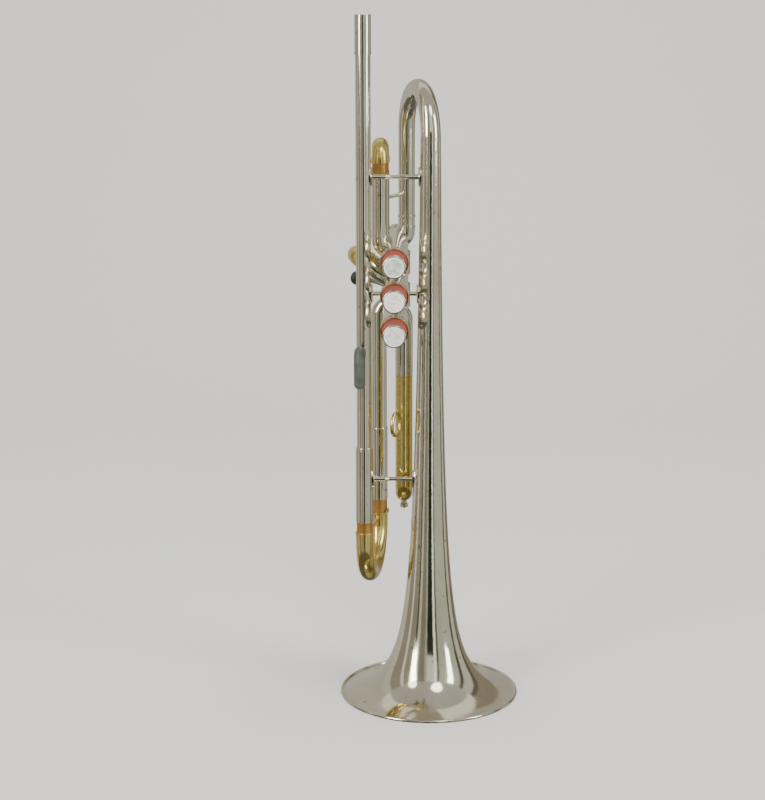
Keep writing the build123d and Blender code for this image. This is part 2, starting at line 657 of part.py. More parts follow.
def make_valve(index):
    """One valve: casing, caps, piston, spring, stem, finger button and pearl."""
    number = index + 1
    with BuildPart() as casing:
        rod(valve_point(index, CASING_TOP_Y), valve_point(index, CASING_END_Y), CASING_R, CASING_BORE_R)
        for y, way in casing_ports(index):
            low = Vector(valve_point(index, y))
            rod(low, low + way * (CASING_R + SEAT), PORT_R, mode=Mode.SUBTRACT)
        for step in (-1, 1):
            if 0 <= index + step < len(VALVE_Z):
                for y in KNUCKLE_Y:
                    low = Vector(valve_point(index, y))
                    way = Vector(0, 0, -step)
                    rod(low, low + way * (CASING_R + SEAT), PORT_R, mode=Mode.SUBTRACT)
    save(casing.part, f"valve_casing_{number}")

    web_top = CAP_TOP_Y + CAP_RECESS_DEPTH
    web_low = web_top + CAP_WEB
    cap_top = valve_point(index, CAP_TOP_Y)
    cap_end = valve_point(index, CAP_SKIRT_Y)
    casing_top = valve_point(index, CASING_TOP_Y)
    with BuildPart() as top_cap:
        rod(cap_top, cap_end, CAP_R)
        chamfer(top_cap.edges().group_by(Axis.Y)[0], length=CAP_CHAMFER)
        rod(cap_top, valve_point(index, web_top), CAP_RECESS_R, mode=Mode.SUBTRACT)
        rod(valve_point(index, web_low), casing_top, CASING_BORE_R, mode=Mode.SUBTRACT)
        rod(casing_top, cap_end, CASING_R, mode=Mode.SUBTRACT)
        hole_r = STEM_R + STEM_CLEARANCE
        rod(valve_point(index, web_top), valve_point(index, web_low), hole_r, mode=Mode.SUBTRACT)
        for turn in range(CAP_GRIPS):
            angle = 2 * math.pi * turn / CAP_GRIPS
            x = VALVE_X + CAP_R * math.cos(angle)
            z = VALVE_Z[index] + CAP_R * math.sin(angle)
            low = (x, CAP_TOP_Y + CAP_GRIP_MARGIN, z)
            high = (x, CAP_SKIRT_Y - CAP_GRIP_MARGIN, z)
            rod(low, high, CAP_GRIP_R, mode=Mode.SUBTRACT)
    save(top_cap.part, f"top_cap_{number}")

    barrel_top = valve_point(index, BARREL_TOP_Y)
    piston_end = valve_point(index, PISTON_END_Y)
    spring_floor = valve_point(index, PISTON_TOP_Y)
    with BuildPart() as piston:
        rod(barrel_top, piston_end, PISTON_R)
        low = valve_point(index, BARREL_TOP_Y + BARREL_ROOF)
        rod(low, piston_end, PISTON_R - PISTON_WALL, mode=Mode.SUBTRACT)
        rod(spring_floor, valve_point(index, PISTON_TOP_Y + PISTON_WALL), PISTON_R - PISTON_WALL)
        for y, way in zip(PORT_Y, PORT_WAYS):
            low = Vector(valve_point(index, y)) - Vector(way) * PISTON_R
            high = Vector(valve_point(index, y)) + Vector(way) * PISTON_R
            rod(low, high, PORT_R + TUBE_WALL)
        for y, way in zip(PORT_Y, PORT_WAYS):
            low = Vector(valve_point(index, y)) - Vector(way) * (PISTON_R + PORT_R)
            high = Vector(valve_point(index, y)) + Vector(way) * (PISTON_R + PORT_R)
            rod(low, high, PORT_R, mode=Mode.SUBTRACT)
        rod(barrel_top, piston_end, PISTON_R, mode=Mode.INTERSECT)
        slot_low = GUIDE_Y - STROKE - GUIDE_SLOT_GAP
        slot_high = GUIDE_Y + GUIDE_THICK + GUIDE_SLOT_GAP
        slot_plane = Plane(origin=valve_point(index, slot_low), x_dir=(1, 0, 0), z_dir=VALVE_AXIS)
        with BuildSketch(slot_plane) as slot:
            Rectangle(2 * CASING_R, GUIDE_TAB_WIDTH + 2 * GUIDE_SLOT_GAP)
        extrude(slot.sketch, amount=slot_high - slot_low, mode=Mode.SUBTRACT)
    save(piston.part, f"piston_{number}")

    button_low = web_top - CAP_FELT_DEPTH - STROKE - BUTTON_GAP
    button_top = button_low - BUTTON_DEPTH
    pearl_low = button_top + PEARL_DEPTH - PEARL_PROUD
    socket_end = valve_point(index, button_low - STEM_SOCKET)
    with BuildPart() as stem:
        rod(barrel_top, socket_end, STEM_R)
    save(stem.part, f"stem_{number}")

    with BuildPart() as button:
        rod(valve_point(index, button_low), valve_point(index, button_top), BUTTON_R)
        ends = button.edges().group_by(Axis.Y)
        fillet(ends[0] + ends[-1], radius=BUTTON_FILLET)
        rod(valve_point(index, button_low), socket_end, STEM_R, mode=Mode.SUBTRACT)
        rod(valve_point(index, pearl_low), valve_point(index, button_top), PEARL_R, mode=Mode.SUBTRACT)
    save(button.part, f"button_{number}")

    with BuildPart() as pearl:
        rod(valve_point(index, pearl_low), valve_point(index, pearl_low - PEARL_DEPTH), PEARL_R)
        fillet(pearl.edges().group_by(Axis.Y)[0], radius=PEARL_FILLET)
    save(pearl.part, f"pearl_{number}")

    spring_low = BARREL_TOP_Y + BARREL_ROOF + SPRING_WIRE_R
    spring_high = GUIDE_Y - SPRING_WIRE_R
    height = spring_high - spring_low
    base = valve_point(index, spring_low)
    with BuildLine() as coil:
        Helix(height / SPRING_TURNS, height, SPRING_R, center=base, direction=VALVE_AXIS)
    with BuildPart() as spring:
        bent_rod(coil.line, SPRING_WIRE_R)
    save(spring.part, f"valve_spring_{number}")


def make_valve_trim():
    """Pieces that the three valves share a shape for: felts, guides, bottom caps, knuckles."""
    web_top = CAP_TOP_Y + CAP_RECESS_DEPTH
    valves = range(len(VALVE_Z))
    with BuildPart() as cap_felts:
        for index in valves:
            hole_r = STEM_R + 2 * STEM_CLEARANCE
            felt_top = web_top - CAP_FELT_DEPTH
            rod(valve_point(index, felt_top), valve_point(index, web_top), CAP_RECESS_R - FELT_GAP, hole_r)
    save(cap_felts.part, "cap_felts")

    with BuildPart() as valve_guides:
        for index in valves:
            guide_plane = Plane(origin=valve_point(index, GUIDE_Y), x_dir=(1, 0, 0), z_dir=VALVE_AXIS)
            with BuildSketch(guide_plane) as guide:
                Circle(SPRING_R + 2 * SPRING_WIRE_R)
                Rectangle(2 * CASING_BORE_R, GUIDE_TAB_WIDTH)
                Circle(CASING_BORE_R, mode=Mode.INTERSECT)
                Circle(STEM_R + STEM_CLEARANCE, mode=Mode.SUBTRACT)
            extrude(guide.sketch, amount=GUIDE_THICK)
    save(valve_guides.part, "valve_guides")

    with BuildPart() as bottom_caps:
        for index in valves:
            skirt = valve_point(index, BOTTOM_CAP_SKIRT_Y)
            casing_end = valve_point(index, CASING_END_Y)
            cap_end = valve_point(index, BOTTOM_CAP_END_Y)
            nub_end = valve_point(index, BOTTOM_CAP_END_Y + BOTTOM_NUB_DEPTH)
            rod(skirt, cap_end, BOTTOM_CAP_R)
            rod(cap_end, nub_end, BOTTOM_NUB_R)
            rod(skirt, casing_end, CASING_R, mode=Mode.SUBTRACT)
            rod(casing_end, nub_end, BOTTOM_CAP_HOLE_R, mode=Mode.SUBTRACT)
    save(bottom_caps.part, "bottom_caps")

    with BuildPart() as knuckles:
        for index in (0, 1):
            for y in KNUCKLE_Y:
                low = (KNUCKLE_X, y, VALVE_Z[index + 1] + KNUCKLE_INSET)
                high = (KNUCKLE_X, y, VALVE_Z[index] - KNUCKLE_INSET)
                rod(low, high, KNUCKLE_R, KNUCKLE_R - TUBE_WALL)
        for index in valves:
            valve_cut(index)
    save(knuckles.part, "knuckles")


def brace_rod(low, high, end_r, middle_r):
    """A turned brace: thick at both ends and thinner in the middle, along X."""
    length = high[0] - low[0]
    with BuildSketch(Plane(origin=low, x_dir=(1, 0, 0), z_dir=(0, -1, 0))) as profile:
        with BuildLine():
            Polyline(
                (0, end_r),
                (0, 0),
                (length, 0),
                (length, end_r),
                (length * BRACE_THICK_SHARE[1], end_r),
                (length * BRACE_THIN_SHARE[1], middle_r),
                (length * BRACE_THIN_SHARE[0], middle_r),
                (length * BRACE_THICK_SHARE[0], end_r),
                close=True,
            )
        make_face()
    revolve(profile.sketch, axis=Axis(low, (1, 0, 0)))


def flange(centre, tube_r, side):
    """An oval foot that lies round a tube, on the side where a brace meets it."""
    outer = tube_r + FLANGE_THICK
    foot = Cylinder(outer, FLANGE_LENGTH, mode=Mode.PRIVATE).locate(Location(centre))
    with BuildSketch(Plane(origin=centre, x_dir=(0, 1, 0), z_dir=(side, 0, 0))) as oval:
        Ellipse(FLANGE_WIDTH / 2 + FLANGE_THICK, FLANGE_LENGTH / 2)
    prism = extrude(oval.sketch, amount=2 * outer, mode=Mode.PRIVATE)
    return foot & prism


def make_braces():
    """The two long braces between leadpipe and bell, each with its feet."""
    core = bell_core()
    with BuildPart() as long_braces:
        for z, lead_r in ((BRACE_REAR_Z, LEAD_R), (BRACE_FRONT_Z, SLEEVE_R)):
            add(flange((LEAD_X, 0, z), lead_r, 1))
            add(flange((0, 0, z), bell_radius(z), -1))
            brace_rod((LEAD_X + lead_r, 0, z), (-bell_radius(z), 0, z), BRACE_END_R, BRACE_MID_R)
            rod((LEAD_X, 0, z - FLANGE_LENGTH), (LEAD_X, 0, z + FLANGE_LENGTH), lead_r, mode=Mode.SUBTRACT)
        add(core, mode=Mode.SUBTRACT)
    save(long_braces.part, "long_braces")


def make_small_braces():
    """The short rods that hold valve 2 and the bell tail."""
    z = VALVE_BRACE_Z
    leg_y = SLIDE_NEAR_Y + SLIDE_1_LEG_GAP
    core = bell_core()
    with BuildPart() as short_braces:
        rod((LEAD_X, 0, z), (0, 0, z), VALVE_BRACE_R)
        add(flange((LEAD_X, 0, z), LEAD_R, 1))
        add(flange((0, 0, z), bell_radius(z), -1))
        rod((LEAD_X, 0, z - FLANGE_LENGTH), (LEAD_X, 0, z + FLANGE_LENGTH), LEAD_R, mode=Mode.SUBTRACT)
        add(core, mode=Mode.SUBTRACT)
        valve_cut(1)
        rod((SLIDE_1_X, leg_y, TAIL_BRACE_Z), (TAIL_X, TAIL_Y, TAIL_BRACE_Z), TAIL_BRACE_R)
        low_z = TAIL_BRACE_Z - FLANGE_LENGTH
        high_z = TAIL_BRACE_Z + FLANGE_LENGTH
        rod((SLIDE_1_X, leg_y, low_z), (SLIDE_1_X, leg_y, high_z), SLEEVE_R, mode=Mode.SUBTRACT)
        rod((TAIL_X, TAIL_Y, low_z), (TAIL_X, TAIL_Y, high_z), TAIL_R, mode=Mode.SUBTRACT)
    save(short_braces.part, "short_braces")


def make_hook():
    """The little-finger hook on the leadpipe, in its rubber sleeve."""
    foot = (LEAD_X, 0, HOOK_FOOT_Z)
    knee = (HOOK_X, HOOK_OUT_Y, HOOK_FOOT_Z)
    tip = (HOOK_X, HOOK_OUT_Y, HOOK_TIP_Z + RUBBER_CAP)
    with BuildLine() as route:
        FilletPolyline(foot, knee, tip, radius=HOOK_BEND_R)
    cover_start = (HOOK_X, HOOK_SLEEVE_Y, HOOK_FOOT_Z)
    cover_end = (HOOK_X, HOOK_OUT_Y, HOOK_TIP_Z)
    with BuildLine() as cover:
        FilletPolyline(cover_start, knee, cover_end, radius=HOOK_BEND_R)
    with BuildPart() as pinky_hook:
        bent_rod(route.line, HOOK_R)
        low = (LEAD_X, 0, HOOK_FOOT_Z - FLANGE_LENGTH)
        high = (LEAD_X, 0, HOOK_FOOT_Z + FLANGE_LENGTH)
        rod(low, high, LEAD_R, mode=Mode.SUBTRACT)
    save(pinky_hook.part, "pinky_hook")

    with BuildPart() as pinky_hook_sleeve:
        bent_rod(cover.line, SLEEVE_RUBBER_R)
        bent_rod(route.line, HOOK_R, mode=Mode.SUBTRACT)
    save(pinky_hook_sleeve.part, "pinky_hook_sleeve")


def make_thumb_rest():
    """The thumb rest: a bent rod from valve 2 whose tip carries a rubber sleeve."""
    foot = (VALVE_X, REST_Y, VALVE_BRACE_Z)
    corner = (REST_X, REST_Y, REST_Z)
    tip = (REST_X, REST_TIP_Y, REST_Z)
    with BuildLine() as route:
        FilletPolyline(foot, corner, tip, radius=REST_BEND_R)
    with BuildPart() as thumb_rest:
        bent_rod(route.line, REST_R)
        valve_cut(1)
    save(thumb_rest.part, "thumb_rest")

    with BuildPart() as thumb_rest_sleeve:
        end = (REST_X, REST_TIP_Y - RUBBER_CAP, REST_Z)
        rod(end, (REST_X, REST_TIP_Y + REST_RUBBER_LENGTH, REST_Z), REST_RUBBER_R)
        fillet(thumb_rest_sleeve.edges().group_by(Axis.Y)[0], radius=RUBBER_CAP / 2)
        bent_rod(route.line, REST_R, mode=Mode.SUBTRACT)
    save(thumb_rest_sleeve.part, "thumb_rest_sleeve")


os.makedirs("parts", exist_ok=True)
make_bell()
make_bow()
make_leadpipe()
make_tube_rings()
make_tuning_slide()
make_slide_1()
make_slide_2()
make_slide_3()
for valve in range(len(VALVE_Z)):
    make_valve(valve)
make_valve_trim()
make_braces()
make_small_braces()
make_hook()
make_thumb_rest()
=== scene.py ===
"""Looks of a silver-plated trumpet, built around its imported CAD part. Lengths are metres."""
import json
import math
import random

import bpy
from mathutils import Matrix, Vector


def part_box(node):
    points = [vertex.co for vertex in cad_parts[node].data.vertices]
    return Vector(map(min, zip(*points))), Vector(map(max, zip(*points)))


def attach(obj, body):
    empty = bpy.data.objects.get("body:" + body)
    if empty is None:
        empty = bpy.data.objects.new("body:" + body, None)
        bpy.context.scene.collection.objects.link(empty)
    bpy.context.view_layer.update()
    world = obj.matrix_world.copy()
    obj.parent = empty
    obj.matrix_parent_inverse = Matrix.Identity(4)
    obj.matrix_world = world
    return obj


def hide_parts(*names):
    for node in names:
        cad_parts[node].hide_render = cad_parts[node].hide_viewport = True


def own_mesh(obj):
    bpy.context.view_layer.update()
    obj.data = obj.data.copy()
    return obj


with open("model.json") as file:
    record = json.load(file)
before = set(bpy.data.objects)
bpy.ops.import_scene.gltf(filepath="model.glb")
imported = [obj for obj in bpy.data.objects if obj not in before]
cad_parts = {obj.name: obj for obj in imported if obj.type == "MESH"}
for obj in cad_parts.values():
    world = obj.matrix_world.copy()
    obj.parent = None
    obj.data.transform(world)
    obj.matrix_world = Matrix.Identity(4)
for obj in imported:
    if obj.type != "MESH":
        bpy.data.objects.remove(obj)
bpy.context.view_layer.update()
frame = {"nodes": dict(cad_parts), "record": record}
nodes = frame["nodes"]

MM = 0.001
VALVES = (1, 2, 3)


# ---------------------------------------------------------------- materials
class Shader:
    """A Principled material with small helpers for its procedural nodes."""

    def __init__(self, name):
        self.material = bpy.data.materials.new(name)
        self.material.use_nodes = True
        self.tree = self.material.node_tree
        self.bsdf = self.tree.nodes["Principled BSDF"]
        self.place = self.tree.nodes.new("ShaderNodeTexCoord").outputs["Object"]

    def set(self, **values):
        for name, value in values.items():
            self.bsdf.inputs[name.replace("_", " ")].default_value = value

    def noise(self, scale, detail=4.0, roughness=0.55, stretch=(1, 1, 1), distortion=0.0):
        mapping = self.tree.nodes.new("ShaderNodeMapping")
        mapping.inputs["Scale"].default_value = stretch
        self.tree.links.new(self.place, mapping.inputs["Vector"])
        noise = self.tree.nodes.new("ShaderNodeTexNoise")
        noise.inputs["Scale"].default_value = scale
        noise.inputs["Detail"].default_value = detail
        noise.inputs["Roughness"].default_value = roughness
        noise.inputs["Distortion"].default_value = distortion
        self.tree.links.new(mapping.outputs["Vector"], noise.inputs["Vector"])
        return noise.outputs["Fac"]

    def ramp(self, source, stops):
        ramp = self.tree.nodes.new("ShaderNodeValToRGB")
        elements = ramp.color_ramp.elements
        while len(elements) < len(stops):
            elements.new(0.5)
        for element, (position, colour) in zip(elements, stops):
            element.position = position
            element.color = (*colour, 1.0)
        self.tree.links.new(source, ramp.inputs["Fac"])
        return ramp.outputs["Color"]

    def grey(self, source, stops):
        return self.ramp(source, [(position, (value,) * 3) for position, value in stops])

    def mix(self, factor, first, second):
        mix = self.tree.nodes.new("ShaderNodeMix")
        mix.data_type = "RGBA"
        self.tree.links.new(factor, mix.inputs["Factor"])
        for socket, value in ((mix.inputs[6], first), (mix.inputs[7], second)):
            if isinstance(value, tuple):
                socket.default_value = (*value, 1.0)
            else:
                self.tree.links.new(value, socket)
        return mix.outputs[2]

    def below(self, axis, level, softness):
        """1 where the place along an axis is under a level, 0 above it."""
        split = self.tree.nodes.new("ShaderNodeSeparateXYZ")
        self.tree.links.new(self.place, split.inputs[0])
        reach = self.tree.nodes.new("ShaderNodeMapRange")
        reach.inputs["From Min"].default_value = level + softness
        reach.inputs["From Max"].default_value = level
        self.tree.links.new(split.outputs[axis], reach.inputs["Value"])
        return reach.outputs["Result"]

    def colour(self, source):
        self.tree.links.new(source, self.bsdf.inputs["Base Color"])

    def rough(self, source):
        self.tree.links.new(source, self.bsdf.inputs["Roughness"])

    def bump(self, source, strength, distance):
        bump = self.tree.nodes.new("ShaderNodeBump")
        bump.inputs["Strength"].default_value = strength
        bump.inputs["Distance"].default_value = distance
        self.tree.links.new(source, bump.inputs["Height"])
        self.tree.links.new(bump.outputs["Normal"], self.bsdf.inputs["Normal"])


def plate_colour(s):
    """Warm silver plate with clouds of tarnish and small darker spots."""
    wear = s.noise(22, 6, 0.6)
    warm = s.ramp(wear, [(0.30, (0.70, 0.66, 0.55)), (0.62, (0.84, 0.81, 0.71))])
    spots = s.grey(s.noise(190, 3, 0.5), [(0.66, 0.0), (0.76, 1.0)])
    return s.mix(spots, warm, (0.50, 0.42, 0.29))


def silver_plate():
    s = Shader("silver_plate")
    s.set(Metallic=1.0)
    s.colour(plate_colour(s))
    s.rough(s.grey(s.noise(48, 5, 0.6), [(0.30, 0.07), (0.75, 0.15)]))
    s.bump(s.noise(60, 2, 0.5), 0.05, 0.0006)
    return s.material


def worn_cap():
    """The plate of a top cap, worn through to the brass on its front edge."""
    s = Shader("worn_cap")
    s.set(Metallic=1.0)
    edge = s.below("Y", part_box("top_cap_1")[0].y + 0.4 * MM, 0.5 * MM)
    s.colour(s.mix(edge, plate_colour(s), (0.80, 0.62, 0.32)))
    s.rough(s.grey(s.noise(150, 4, 0.6), [(0.30, 0.12), (0.75, 0.24)]))
    s.bump(s.noise(60, 2, 0.5), 0.05, 0.0006)
    return s.material


def lacquered_brass():
    s = Shader("lacquered_brass")
    s.set(Metallic=1.0, Coat_Weight=0.35, Coat_Roughness=0.08)
    tone = s.ramp(s.noise(28, 5), [(0.3, (0.76, 0.58, 0.17)), (0.7, (0.90, 0.76, 0.31))])
    flecks = s.grey(s.noise(230, 3), [(0.68, 0.0), (0.76, 1.0)])
    s.colour(s.mix(flecks, tone, (0.44, 0.29, 0.08)))
    s.rough(s.grey(s.noise(55, 4), [(0.3, 0.13), (0.75, 0.26)]))
    s.bump(s.noise(70, 2), 0.05, 0.0005)
    return s.material


def bare_brass():
    s = Shader("bare_brass")
    s.set(Metallic=1.0)
    tone = s.ramp(s.noise(90, 6, 0.65), [(0.32, (0.50, 0.24, 0.07)), (0.66, (0.80, 0.47, 0.15))])
    s.colour(tone)
    s.rough(s.grey(s.noise(160, 4), [(0.3, 0.28), (0.7, 0.46)]))
    s.bump(s.noise(420, 3, 0.5, (1, 1, 0.12)), 0.10, 0.0003)
    return s.material


def pearl():
    """Mother of pearl. Each valve's disc has its own tone, and all have a painted highlight: their crest is
    coloured near-white.
    """
    s = Shader("pearl")
    s.set(Coat_Weight=0.7, Coat_Roughness=0.06, Subsurface_Weight=0.12, Subsurface_Scale=0.001)
    swirl = s.noise(110, 5, 0.6, (1, 1, 1.6), 2.8)
    sage = s.ramp(swirl, [(0.36, (0.42, 0.52, 0.45)), (0.50, (0.58, 0.66, 0.59)),
                          (0.62, (0.74, 0.80, 0.73))])
    cream = s.ramp(swirl, [(0.36, (0.74, 0.73, 0.66)), (0.46, (0.92, 0.90, 0.84)),
                           (0.56, (1.00, 0.99, 0.93))])
    grey = s.ramp(swirl, [(0.36, (0.60, 0.63, 0.60)), (0.50, (0.74, 0.74, 0.73)),
                          (0.62, (0.88, 0.89, 0.87))])
    between = [(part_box(f"pearl_{n}")[0].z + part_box(f"pearl_{n + 1}")[1].z) / 2 for n in (1, 2)]
    tint = s.mix(s.below("Z", between[0], 1 * MM), sage, cream)
    tint = s.mix(s.below("Z", between[1], 1 * MM), tint, grey)
    # Painted highlight: the crest round each disc's edge is coloured near-white, as if light caught it there.
    crest = s.below("Y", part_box("pearl_1")[0].y + 0.12 * MM, 0.08 * MM)
    s.colour(s.mix(crest, tint, (1.0, 1.0, 0.96)))
    s.rough(s.grey(s.noise(300, 3), [(0.3, 0.14), (0.7, 0.28)]))
    s.bump(swirl, 0.05, 0.0003)
    return s.material


def red_felt():
    s = Shader("red_felt")
    s.set(Sheen_Weight=0.8, Sheen_Roughness=0.5, Specular_IOR_Level=0.1)
    fuzz = s.noise(1500, 5, 0.75)
    s.colour(s.ramp(fuzz, [(0.3, (0.22, 0.035, 0.025)), (0.7, (0.56, 0.13, 0.085))]))
    s.rough(s.grey(fuzz, [(0.2, 0.88), (0.8, 1.0)]))
    s.bump(fuzz, 0.8, 0.0008)
    return s.material


def black_rubber(name, dark, pale):
    """Scuffed rubber, between two tones."""
    s = Shader(name)
    s.set(Specular_IOR_Level=0.45)
    scuff = s.noise(85, 6, 0.65)
    s.colour(s.ramp(scuff, [(0.35, dark), (0.75, pale)]))
    s.rough(s.grey(scuff, [(0.3, 0.38), (0.7, 0.58)]))
    s.bump(s.noise(900, 3), 0.18, 0.0003)
    return s.material


def cork():
    s = Shader("cork")
    grains = s.noise(950, 5, 0.7)
    s.colour(s.ramp(grains, [(0.34, (0.16, 0.08, 0.035)), (0.48, (0.46, 0.29, 0.14)),
                             (0.70, (0.63, 0.43, 0.23))]))
    s.rough(s.grey(grains, [(0.3, 0.80), (0.7, 0.95)]))
    s.bump(grains, 0.5, 0.0005)
    return s.material


def piston_steel():
    s = Shader("piston_steel")
    s.set(Metallic=1.0)
    brushed = s.noise(500, 4, 0.6, (0.05, 1, 1))
    s.colour(s.ramp(brushed, [(0.3, (0.56, 0.56, 0.54)), (0.7, (0.70, 0.70, 0.67))]))
    s.rough(s.grey(brushed, [(0.3, 0.22), (0.7, 0.36)]))
    s.bump(brushed, 0.06, 0.0002)
    return s.material


finishes = {
    "silver_plate": silver_plate(),
    "lacquered_brass": lacquered_brass(),
    "bare_brass": bare_brass(),
    "pearl": pearl(),
    "red_felt": red_felt(),
    "black_rubber": black_rubber("black_rubber", (0.046, 0.053, 0.044), (0.105, 0.115, 0.098)),
    "cork": cork(),
    "piston_steel": piston_steel(),
}
worn = worn_cap()
# A much darker copy of the black rubber, for the thumb rest's sleeve.
darker_rubber = black_rubber("darker_rubber", (0.008, 0.009, 0.008), (0.020, 0.021, 0.019))


# ---------------------------------------------------------------- CAD nodes
slot_of = {part["node"]: part["material_slot"] for part in frame["record"]["subparts"]}

for name, thing in nodes.items():
    mesh = thing.data
    mesh.materials.clear()
    mesh.materials.append(worn if name.startswith("top_cap") else finishes[slot_of[name]])


# ---------------------------------------------------------------- finer pieces
def piece(name, points, faces, slot, body, *stands_for):
    """Makes a smooth mesh piece that rides on a body in place of CAD nodes."""
    mesh = bpy.data.meshes.new(name)
    mesh.from_pydata(points, [], faces)
    mesh.materials.append(finishes[slot])
    for face in mesh.polygons:
        face.use_smooth = True
    mesh.validate()
    made = bpy.data.objects.new(name, mesh)
    bpy.context.scene.collection.objects.link(made)
    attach(made, body)
    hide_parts(*stands_for)
    return made


def turned(profile, centre, segments=96, wobble=None):
    """A solid of revolution about the Y direction, from (radius, y) pairs."""
    points = []
    faces = []
    count = len(profile)
    for i in range(segments):
        a = math.tau * i / segments
        for j, (radius, y) in enumerate(profile):
            r, dy = wobble(a, radius, j) if wobble else (radius, 0.0)
            points.append((centre.x + r * math.cos(a), y + dy, centre.z + r * math.sin(a)))
    for i in range(segments):
        k = (i + 1) % segments
        for j in range(count - 1):
            faces.append((i * count + j, i * count + j + 1, k * count + j + 1, k * count + j))
    return points, faces


def tube_faces(rings, sides):
    """The faces of a closed tube whose rings of points follow one another."""
    faces = []
    for i in range(rings - 1):
        for k in range(sides):
            n = (k + 1) % sides
            faces.append((i * sides + k, i * sides + n, (i + 1) * sides + n, (i + 1) * sides + k))
    faces.append(tuple(reversed(range(sides))))
    last = (rings - 1) * sides
    faces.append(tuple(range(last, last + sides)))
    return faces


def swept(path, radii, sides=32):
    """A closed tube along a path, one radius to each point of the path."""
    points = []
    for i, here in enumerate(path):
        before = path[max(i - 1, 0)]
        after = path[min(i + 1, len(path) - 1)]
        along = (after - before).normalized()
        side = Vector((1, 0, 0))
        over = along.cross(side).normalized()
        for k in range(sides):
            a = math.tau * k / sides
            points.append(here + radii[i] * (math.cos(a) * side + math.sin(a) * over))
    return points, tube_faces(len(path), sides)


def wound(path, centre, wire, sides=10):
    """The round wire of a coil whose axis runs along Y."""
    points = []
    for i, here in enumerate(path):
        along = (path[min(i + 1, len(path) - 1)] - path[max(i - 1, 0)]).normalized()
        out = Vector((here.x - centre.x, 0.0, here.z - centre.z)).normalized()
        over = along.cross(out).normalized()
        for k in range(sides):
            a = math.tau * k / sides
            points.append(here + wire * (math.cos(a) * out + math.sin(a) * over))
    return points, tube_faces(len(path), sides)


def rounded(distance_from_end, full, round_length):
    """The radius near a rounded end of a tube."""
    share = min(distance_from_end / round_length, 1.0)
    return full * math.sqrt(max(1.0 - (1.0 - share) ** 2, 0.0))


def make_pearl(number):
    """A dished disc with a rounded crest round its edge."""
    crest_y = 0.06 * MM
    edge = 0.75 * MM
    deepest = 0.40 * MM
    low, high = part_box(f"pearl_{number}")
    centre = (low + high) / 2
    full = (high.x - low.x) / 2
    profile = [(0.0, high.y), (full, high.y)]
    for step in range(9):
        a = math.radians(90) * step / 8
        profile.append((full - edge * (1 - math.cos(a)), low.y + crest_y + edge * (1 - math.sin(a))))
    for share in (0.86, 0.78, 0.68, 0.5, 0.25, 0.0):
        dish = deepest * (1 - share ** 2)
        profile.append((full * share, low.y + crest_y + dish))
    points, faces = turned(profile, centre)
    piece(f"pearl_disc_{number}", points, faces, "pearl", f"valve_{number}", f"pearl_{number}")


def make_felts():
    """The felt washers of the three caps, with a rough rim and face."""
    inner = 2.8 * MM
    back_edge = 0.6 * MM
    front_edge = 0.45 * MM
    face_depth = 0.06 * MM
    worn_depth = 0.16 * MM
    bore_depth = 0.2 * MM
    rim_fuzz = 0.10 * MM
    face_fuzz = 0.09 * MM
    low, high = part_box("cap_felts")
    outer = (high.x - low.x) / 2
    generator = random.Random(7)
    all_points = []
    all_faces = []
    for number in VALVES:
        cap_low, cap_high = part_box(f"top_cap_{number}")
        centre = (cap_low + cap_high) / 2
        profile = [(inner, high.y), (outer, high.y), (outer, high.y - back_edge), (outer, low.y + front_edge)]
        for share in (0.97, 0.93, 0.86, 0.78, 0.70, 0.62, 0.54, 0.46, 0.38):
            depth = worn_depth if share > 0.95 else face_depth
            profile.append((outer * share, low.y + depth))
        profile.append((inner, low.y + bore_depth))
        profile.append((inner, high.y))

        def fuzz(a, radius, j):
            rim = rim_fuzz * generator.random()
            dy = face_fuzz * generator.random() if j > 2 else 0.0
            return radius - (rim if radius > inner * 1.5 else 0.0), dy

        points, faces = turned(profile, centre, 180, fuzz)
        shift = len(all_points)
        all_points += points
        all_faces += [tuple(shift + k for k in face) for face in faces]
    piece("felt_washers", all_points, all_faces, "red_felt", "root", "cap_felts")


def make_spring(number):
    """A coil of round wire in place of the valve's spring."""
    low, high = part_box(f"valve_spring_{number}")
    centre = (low + high) / 2
    wire = 0.4 * MM
    turns = 8
    steps_a_turn = 36
    radius = (high.x - low.x) / 2 - wire
    steps = turns * steps_a_turn
    path = []
    for step in range(steps + 1):
        a = math.tau * turns * step / steps
        y = low.y + wire + (high.y - low.y - 2 * wire) * step / steps
        path.append(Vector((centre.x + radius * math.cos(a), y, centre.z + radius * math.sin(a))))
    points, faces = wound(path, centre, wire)
    coil = piece(f"valve_coil_{number}", points, faces, "piston_steel", "root", f"valve_spring_{number}")
    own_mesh(coil)


